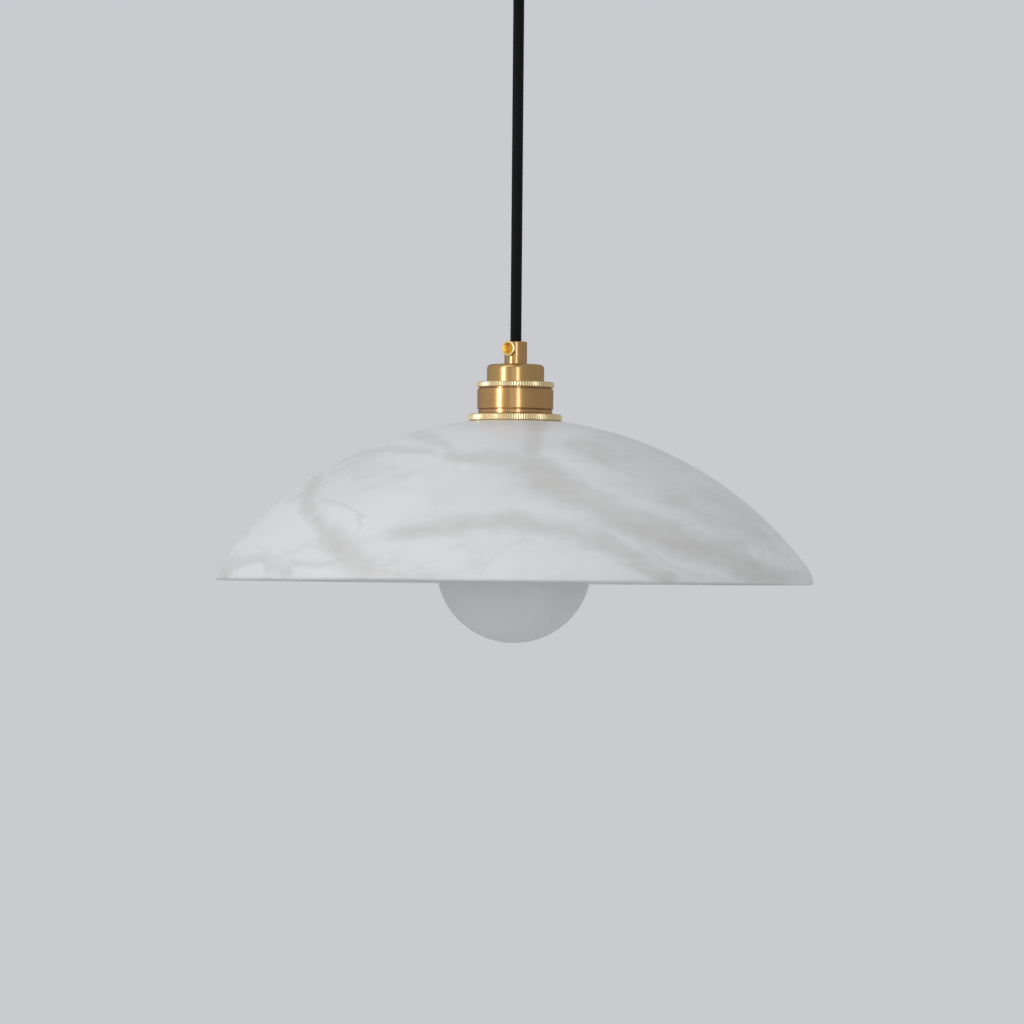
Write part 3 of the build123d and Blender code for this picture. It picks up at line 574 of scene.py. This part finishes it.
# Insulating pieces
# Glazed porcelain in the lampholder, a moulded nylon terminal block, a silicone washer under the stone,
# the insulated cores of the flex, and in the bulb its black glass, board, coated filaments and clear stem.
moulded_tone_scale = 160
moulded_grain_scale = 1800
moulded_grain_depth = 0.00004
porcelain_deep = (0.74, 0.73, 0.69, 1)
porcelain_clear = (0.82, 0.81, 0.78, 1)
porcelain_glaze = 0.5
nylon_deep = (0.68, 0.67, 0.63, 1)
nylon_clear = (0.76, 0.75, 0.72, 1)
silicone_deep = (0.80, 0.81, 0.82, 1)
silicone_clear = (0.88, 0.89, 0.90, 1)
silicone_clearness = 0.7
silicone_ior = 1.41
black_glass_deep = (0.010, 0.010, 0.014, 1)
black_glass_clear = (0.02, 0.02, 0.03, 1)
board_deep = (0.02, 0.10, 0.045, 1)
board_clear = (0.04, 0.16, 0.07, 1)
phosphor_deep = (0.72, 0.47, 0.10, 1)
phosphor_clear = (0.85, 0.60, 0.18, 1)
brown_deep = (0.09, 0.036, 0.018, 1)
brown_clear = (0.14, 0.06, 0.03, 1)
blue_deep = (0.015, 0.075, 0.30, 1)
blue_clear = (0.03, 0.12, 0.42, 1)
earth_green = (0.03, 0.22, 0.04, 1)
earth_yellow = (0.65, 0.56, 0.03, 1)
stem_deep = (0.92, 0.94, 0.94, 1)
stem_clear = (0.97, 0.98, 0.98, 1)
stem_clearness = 1.0


def moulded(name, deep, clear, roughness, grain=0.06):
    """Moulded, glazed or drawn material with a faint change of tone and a fine skin."""
    made = material(name)
    tree = made.node_tree
    shader = shader_of(made)
    place = object_place(tree)
    tone = noise(tree, place, moulded_tone_scale, detail=3)
    join(tree, tones(tree, tone, deep, clear), shader.inputs["Base Color"])
    relief(tree, noise(tree, place, moulded_grain_scale), grain, moulded_grain_depth, shader)
    shader.inputs["Roughness"].default_value = roughness
    return made


porcelain = moulded("porcelain", porcelain_deep, porcelain_clear, roughness=0.2, grain=0.03)
shader_of(porcelain).inputs["Coat Weight"].default_value = porcelain_glaze
nylon = moulded("white_nylon", nylon_deep, nylon_clear, roughness=0.5)
silicone = moulded("clear_silicone", silicone_deep, silicone_clear, roughness=0.35)
shader_of(silicone).inputs["Transmission Weight"].default_value = silicone_clearness
shader_of(silicone).inputs["IOR"].default_value = silicone_ior
black_glass = moulded("black_glass", black_glass_deep, black_glass_clear, roughness=0.1, grain=0.02)
board = moulded("board_green", board_deep, board_clear, roughness=0.4)
phosphor = moulded("filament_yellow", phosphor_deep, phosphor_clear, roughness=0.6)
core_brown = moulded("core_brown", brown_deep, brown_clear, roughness=0.45)
core_blue = moulded("core_blue", blue_deep, blue_clear, roughness=0.45)
core_green = moulded("core_green", earth_green, earth_yellow, roughness=0.45)
stem_glass = moulded("clear_glass", stem_deep, stem_clear, roughness=0.05, grain=0.01)
shader_of(stem_glass).inputs["Transmission Weight"].default_value = stem_clearness
for name, finish in {
    "socket_insert": porcelain,
    "terminal_block": nylon,
    "shade_washer": silicone,
    "bulb_insulator": black_glass,
    "bulb_driver": board,
    "led_filaments": phosphor,
    "rose_core_live": core_brown,
    "lamp_core_live": core_brown,
    "rose_core_neutral": core_blue,
    "lamp_core_neutral": core_blue,
    "rose_core_earth": core_green,
    "lamp_core_earth": core_green,
    "bulb_stem": stem_glass,
}.items():
    dress(nodes[name], finish)

# Bulb
# A round opal bulb, switched off: smooth white blown glass that hides what is inside.
# The globe is cemented into the cap, which screws into the lampholder.
opal_deep = (0.77, 0.77, 0.785, 1)
opal_clear = (0.82, 0.82, 0.835, 1)
opal_translucence = 0.25
opal_scatter = (1, 1, 1)
opal_scatter_depth = 0.002
opal = moulded("opal_glass", opal_deep, opal_clear, roughness=0.08, grain=0.015)
shader_of(opal).inputs["Subsurface Weight"].default_value = opal_translucence
shader_of(opal).inputs["Subsurface Radius"].default_value = opal_scatter
shader_of(opal).inputs["Subsurface Scale"].default_value = opal_scatter_depth
dress(nodes["bulb_globe"], opal)

# Alabaster shade
# A bowl turned from one block of white alabaster. Grey-green sheets of vein run through the stone,
# with wisps and fine threads between them, and the honed face is smooth and slightly translucent.
stone_white = (0.845, 0.846, 0.860, 1)
vein_grey = (0.625, 0.617, 0.590, 1)
stone_roughness = 0.40
stone_translucence = 0.35
stone_scatter = (1.0, 0.95, 0.9)
stone_scatter_depth = 0.004
dome_radius = 0.1865
edge_radius = 0.014
rim_radius = 0.1525
edge_centre = rim_radius - edge_radius
dome_centre_drop = math.sqrt((dome_radius - edge_radius) ** 2 - edge_centre**2)
edge_top = edge_radius * dome_centre_drop / (dome_radius - edge_radius)
sight_steps = 12
vein_core = 0.20
vein_edge = 1.15
vein_fade = 0.09
vein_feather = 0.0085
vein_fraying = 1.4
run_middle = 0.5
feather_middle = 0.45
thread_middle = 0.5
warp_sizes = ((13, 0.0045), (55, 0.0030))
warp_detail = 3
layer_turn = math.radians(27)
streak_stretch = (0.28, 0.6, 1)
drift_stretch = (0.5, 0.8, 1)
mm = 0.001

# Each sheet of vein: places across and above the rim where it shows on the front of the bowl, in mm,
# its half width, its strength, and how far it leans across and up for each length that it runs back.
stone_veins = [
    # Column under the ring and the broad band from there down to the right
    ([(11, 84), (10, 78), (9, 72), (9, 65), (12, 58)], 6.5, 0.68, (0.15, -0.10)),
    (
        [
            (3, 61), (11, 56), (20, 50), (30, 45), (40, 41),
            (53, 34), (66, 28), (80, 24), (96, 18), (110, 13),
        ],
        11.5, 0.88, (0.25, -0.10),
    ),
    ([(92, 20), (104, 15), (116, 10), (128, 6), (142, 2)], 8.5, 0.80, (0.25, -0.10)),
    # Branch that joins it from the upper left
    ([(-56, 75), (-49, 75), (-42, 73), (-37, 70), (-33, 66), (-30, 61)], 4.6, 0.58, (-0.10, 0.05)),
    ([(-37, 65), (-26, 63), (-16, 64), (-6, 64), (4, 62), (12, 60)], 4.0, 0.66, (-0.10, 0.10)),
    # Grey stone along the upper right, whose broad sheets are partly painted shade, and the dark streaks
    # below it
    ([(36, 75), (52, 67), (66, 60), (82, 51)], 12, 0.52, (0.30, 0.05)),
    ([(78, 53), (96, 42), (112, 33), (128, 22)], 12, 0.42, (0.30, 0.05)),
    ([(25, 71), (32, 67), (40, 64), (49, 60), (57, 56), (66, 53)], 1.9, 0.70, (0.35, 0.10)),
    ([(58, 55), (66, 50), (73, 48), (80, 44), (90, 40)], 2.6, 0.42, (0.35, 0.10)),
    # Soft middle band, which turns down to the rim on the right
    ([(-64, 23), (-50, 25), (-40, 26), (-28, 27), (-15, 29), (-3, 30)], 4.2, 0.64, (0.10, 0.25)),
    ([(-15, 30), (-3, 30), (8, 29), (20, 27), (32, 25), (44, 22)], 5.4, 0.68, (0.10, 0.25)),
    ([(38, 23), (46, 22), (52, 18), (58, 14), (65, 9), (73, 5), (84, 1)], 5.4, 0.78, (0.10, 0.25)),
    ([(66, 19), (72, 15), (79, 10), (88, 7), (98, 4)], 2.6, 0.38, (0.20, -0.15)),
    # Left band, which spreads towards the rim
    (
        [(-100, 56), (-103, 47), (-105, 40), (-103, 34), (-99, 27), (-93, 20), (-86, 13)],
        6.4, 0.78, (-0.02, 0.02),
    ),
    ([(-98, 26), (-90, 18), (-83, 11), (-77, 5), (-72, 0)], 11, 0.64, (-0.10, 0.05)),
    ([(-80, 5), (-66, 4), (-52, 3), (-38, 3)], 3.5, 0.40, (-0.10, 0.10)),
    # Dark line under the edge of the crown at the upper left
    ([(-92, 59), (-82, 64), (-72, 67), (-62, 68), (-52, 67), (-40, 66)], 3.2, 0.60, (-0.05, -0.05)),
    # Arc, blob and wisp at the lower left
    ([(-151, 1), (-145, 6), (-138, 9), (-131, 10), (-124, 9)], 3.0, 0.72, (-0.15, 0.10)),
    ([(-128, 9), (-121, 6), (-112, 3)], 5.6, 0.62, (-0.20, 0.20)),
    ([(-114, 9), (-106, 8), (-98, 9), (-90, 11)], 1.7, 0.60, (-0.20, 0.20)),
    # Threads
    ([(-101, 45), (-96, 41), (-90, 40), (-84, 38), (-80, 34)], 1.3, 0.40, (0.20, 0.20)),
    ([(-81, 36), (-79, 31), (-79, 25)], 1.3, 0.42, (0.20, 0.20)),
    ([(-117, 11), (-110, 15), (-105, 19)], 1.2, 0.34, (-0.20, 0.20)),
    ([(-79, 47), (-66, 51), (-52, 56)], 1.4, 0.24, (-0.10, 0.30)),
    ([(-84, 55), (-74, 58), (-60, 60)], 1.5, 0.28, (-0.10, 0.30)),
    ([(-32, 17), (-26, 19), (-20, 23), (-14, 25)], 1.4, 0.20, (0.30, 0.15)),
    ([(-17, 4), (-13, 10), (-9, 15), (-4, 18), (4, 20)], 1.4, 0.18, (0.30, 0.15)),
]

# Clear white stone between the sheets, told in the same way.
stone_clear = [
    ([(-136, 13), (-126, 22), (-117, 31), (-112, 39)], 11, 0.85, (-0.35, 0.15)),
    ([(-95, 34), (-90, 32), (-83, 30)], 8, 0.90, (0.20, 0.20)),
    ([(-109, 13), (-102, 14), (-94, 13)], 3.4, 0.85, (-0.20, 0.20)),
    ([(-104, 4), (-97, 5), (-89, 4)], 3.2, 0.80, (-0.20, 0.20)),
    ([(-144, 3), (-136, 4), (-128, 4)], 2.4, 0.80, (-0.15, 0.10)),
    ([(-76, 33), (-66, 38), (-56, 41), (-44, 42)], 10, 0.60, (-0.10, 0.30)),
    ([(-72, 18), (-56, 18), (-40, 16), (-24, 12)], 6, 0.75, (0.10, 0.25)),
    ([(-12, 13), (4, 14), (20, 13), (36, 11), (50, 8)], 9, 0.75, (0.10, 0.25)),
    ([(20, 64), (30, 58), (42, 50), (54, 44), (68, 39), (82, 35), (94, 32)], 4.2, 0.75, (0.25, -0.10)),
    ([(14, 43), (22, 38), (30, 35), (35, 33)], 4.0, 0.60, (0.25, -0.10)),
    ([(48, 26), (55, 23), (62, 20)], 1.8, 0.80, (0.10, 0.25)),
    ([(72, 17), (84, 13), (98, 9), (113, 6)], 2.6, 0.80, (0.20, -0.15)),
]


def front_of_bowl(across, above):
    """Place on the front of the bowl that the camera sees at millimetres across and above the rim."""
    nearer = 1
    for _ in range(sight_steps):
        x = across * mm * nearer
        height = max((above * mm + camera_below_rim) * nearer - camera_below_rim, 0)
        if height > edge_top:
            reach = math.sqrt(dome_radius**2 - min(height + dome_centre_drop, dome_radius) ** 2)
        else:
            reach = edge_centre + math.sqrt(edge_radius**2 - height**2)
        depth = math.sqrt(max(reach**2 - x**2, 0))
        nearer = 1 - depth / camera_distance
    return Vector((x, -depth, shade_rim + height))


def vein_sheet(tree, place, feather, shown, half_width, strength, lean):
    """One sheet of vein through the stone, as a value from 0 to its strength, with feathered edges."""
    flat = []
    for across, above in shown:
        front = front_of_bowl(across, above)
        flat.append(Vector((front.x - lean[0] * front.y, front.z - lean[1] * front.y)))
    run = flat[-1] - flat[0]
    length = run.length
    run.normalize()
    side = Vector((-run.y, run.x))
    along = [(point - flat[0]).dot(run) / length for point in flat]
    aside = [(point - flat[0]).dot(side) for point in flat]
    lowest = min(aside) - half_width * mm
    reach = max(aside) + half_width * mm - lowest
    along_direction = (run.x, -run.x * lean[0] - run.y * lean[1], run.y)
    side_direction = (side.x, -side.x * lean[0] - side.y * lean[1], side.y)
    travel = measure(tree, place, along_direction, flat[0].dot(run), length)
    offset = measure(tree, place, side_direction, flat[0].dot(side) + lowest, reach)
    line = tree.nodes.new("ShaderNodeFloatCurve")
    curve = line.mapping.curves[0]
    levels = [(value - lowest) / reach for value in aside]
    curve.points[0].location = (0, levels[0])
    curve.points[1].location = (1, levels[-1])
    for where, level in list(zip(along, levels))[1:-1]:
        curve.points.new(where, level)
    line.mapping.update()
    join(tree, travel, line.inputs["Value"])
    away = calculate(tree, "ABSOLUTE", calculate(tree, "SUBTRACT", offset, line.outputs[0]))
    frayed = min(vein_feather, vein_fraying * half_width * mm)
    feathered = calculate(tree, "MULTIPLY_ADD", feather, frayed / reach, away)
    core = vein_core * half_width * mm / reach
    edge = vein_edge * half_width * mm / reach
    band = spread(tree, feathered, low=strength, high=0, start=core, end=edge)
    from_middle = calculate(tree, "ABSOLUTE", calculate(tree, "SUBTRACT", travel, run_middle))
    fade = spread(tree, from_middle, low=1, high=0, start=run_middle - vein_fade, end=run_middle + vein_fade)
    return calculate(tree, "MULTIPLY", band, fade)


def sheets(tree, place, feather, described):
    """All the sheets of a list, as one value."""
    whole = 0
    for shown, half_width, strength, lean in described:
        sheet = vein_sheet(tree, place, feather, shown, half_width, strength, lean)
        whole = calculate(tree, "MAXIMUM", whole, sheet)
    return whole


def warped(tree, place, scale, reach):
    """Place shifted by a noise, so that straight sheets wander as veins do."""
    wander = tree.nodes.new("ShaderNodeTexNoise")
    wander.inputs["Scale"].default_value = scale
    wander.inputs["Detail"].default_value = warp_detail
    join(tree, place, wander.inputs["Vector"])
    shift = tree.nodes.new("ShaderNodeVectorMath")
    shift.operation = "MULTIPLY_ADD"
    shift.inputs[1].default_value = (reach, reach, reach)
    shift.inputs[2].default_value = (-reach / 2, -reach / 2, -reach / 2)
    join(tree, wander.outputs["Color"], shift.inputs[0])
    moved = tree.nodes.new("ShaderNodeVectorMath")
    moved.operation = "ADD"
    join(tree, place, moved.inputs[0])
    join(tree, shift.outputs[0], moved.inputs[1])
    return moved.outputs[0]


def drawn_out(tree, place, stretch):
    """Place in stone that was drawn out along its layers, so that noise becomes streaks."""
    layers = tree.nodes.new("ShaderNodeMapping")
    layers.inputs["Rotation"].default_value = (0, -layer_turn, 0)
    layers.inputs["Scale"].default_value = stretch
    join(tree, place, layers.inputs["Vector"])
    return layers.outputs[0]


def thread_lines(tree, place, scale, width, strength, mask):
    """Thin lines where a noise crosses its middle value, shown where a mask lets them."""
    ridge = noise(tree, place, scale, detail=4)
    away = calculate(tree, "ABSOLUTE", calculate(tree, "SUBTRACT", ridge, thread_middle))
    lines = spread(tree, away, low=strength, high=0, start=0, end=width)
    return calculate(tree, "MULTIPLY", lines, mask)


def over(tree, first, second):
    """Two marks laid one over the other, each from 0 to 1."""
    both = calculate(tree, "ADD", first, second)
    return calculate(tree, "SUBTRACT", both, calculate(tree, "MULTIPLY", first, second))


alabaster = material("alabaster")
stone = alabaster.node_tree
stone_shader = shader_of(alabaster)
stone_place = object_place(stone)
wandering = stone_place
for warp_scale, warp_reach in warp_sizes:
    wandering = warped(stone, wandering, warp_scale, warp_reach)
streaked = drawn_out(stone, wandering, streak_stretch)
drifted = drawn_out(stone, wandering, drift_stretch)

frays = calculate(stone, "SUBTRACT", noise(stone, drifted, scale=130, detail=8), feather_middle)
patches = spread(stone, noise(stone, drifted, scale=75, detail=6), low=0.62, high=1.0)
grains = spread(stone, noise(stone, streaked, scale=210, detail=5), low=0.80, high=1.0)
mottling = calculate(stone, "MULTIPLY", patches, grains)
veins = calculate(stone, "MULTIPLY", sheets(stone, wandering, frays, stone_veins), mottling)

wisp_places = noise(stone, stone_place, scale=14, detail=3)
wisp_mask = spread(stone, wisp_places, low=0, high=1, start=0.40, end=0.62)
wisp_noise = noise(stone, streaked, scale=85, detail=6)
wisps = spread(stone, wisp_noise, low=0, high=0.40, start=0.48, end=0.70)
wisps = calculate(stone, "MULTIPLY", wisps, wisp_mask)

thread_places = noise(stone, stone_place, scale=24, detail=2)
thread_mask = spread(stone, thread_places, low=0.15, high=1, start=0.46, end=0.60)
long_threads = thread_lines(stone, streaked, scale=34, width=0.022, strength=0.28, mask=thread_mask)
fine_threads = thread_lines(stone, streaked, scale=90, width=0.030, strength=0.22, mask=thread_mask)

cloud_noise = noise(stone, streaked, scale=40, detail=5)
marks = spread(stone, cloud_noise, low=0.0, high=0.28, start=0.38, end=0.68)
for mark in (wisps, long_threads, fine_threads):
    marks = over(stone, marks, mark)
cloudy = calculate(stone, "SUBTRACT", 1, sheets(stone, wandering, frays, stone_clear))
marks = over(stone, calculate(stone, "MULTIPLY", marks, cloudy), veins)
join(stone, tones(stone, marks, stone_white, vein_grey), stone_shader.inputs["Base Color"])
stone_shader.inputs["Roughness"].default_value = stone_roughness
stone_shader.inputs["Subsurface Weight"].default_value = stone_translucence
stone_shader.inputs["Subsurface Radius"].default_value = stone_scatter
stone_shader.inputs["Subsurface Scale"].default_value = stone_scatter_depth
dress(nodes["shade"], alabaster)
